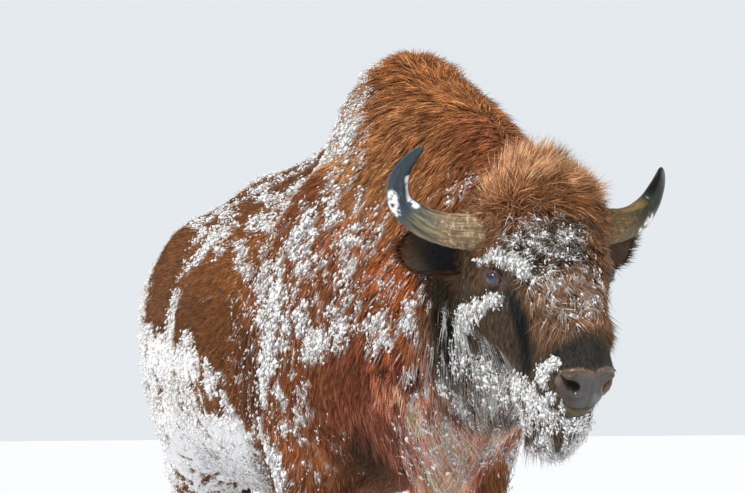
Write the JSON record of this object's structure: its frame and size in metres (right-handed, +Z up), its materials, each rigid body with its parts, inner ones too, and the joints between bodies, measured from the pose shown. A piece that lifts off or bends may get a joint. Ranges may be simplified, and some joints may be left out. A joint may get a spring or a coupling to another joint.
{
  "type": "european bison",
  "caption": "Life-size standing European bison bull in its winter coat, with a high shaggy hump, short curved horns, a beard and cloven hooves.",
  "frame": {"origin": "on the floor under the middle of the whole outline", "axes": "+X forward, the way the body faces, +Y to the animal's left, +Z up"},
  "size_m": [2.6766, 0.7914, 1.7983],
  "materials": {
    "coat": "dense reddish-brown winter hair, frosted with snow",
    "mane": "long shaggy rust-brown hair",
    "face": "short dark brown hair with a lighter shaggy forehead",
    "muzzle": "moist dark grey-brown skin",
    "beard": "long dark brown hair, frosted",
    "leg": "short brown hair",
    "horn": "horn, olive-tan at the root and blue-black at the tip",
    "hoof": "dark horn",
    "eye": "wet dark eye"
  },
  "bodies": {
    "root": {"beard": "beard", "chin": "muzzle", "dewclaw_fore_left_left": "hoof", "dewclaw_fore_left_right": "hoof", "dewclaw_fore_right_left": "hoof", "dewclaw_fore_right_right": "hoof", "dewclaw_hind_left_left": "hoof", "dewclaw_hind_left_right": "hoof", "dewclaw_hind_right_left": "hoof", "dewclaw_hind_right_right": "hoof", "ear_left": "face", "ear_right": "face", "eye_left": "eye", "eye_right": "eye", "head": "face", "hoof_fore_left_inner": "hoof", "hoof_fore_left_outer": "hoof", "hoof_fore_right_inner": "hoof", "hoof_fore_right_outer": "hoof", "hoof_hind_left_inner": "hoof", "hoof_hind_left_outer": "hoof", "hoof_hind_right_inner": "hoof", "hoof_hind_right_outer": "hoof", "horn_left": "horn", "horn_right": "horn", "leg_fore_left": "leg", "leg_fore_right": "leg", "leg_hind_left": "leg", "leg_hind_right": "leg", "muzzle": "muzzle", "neck": "mane", "tail": "coat", "tail_brush": "beard", "trunk": "coat"}
  },
  "joints": []
}
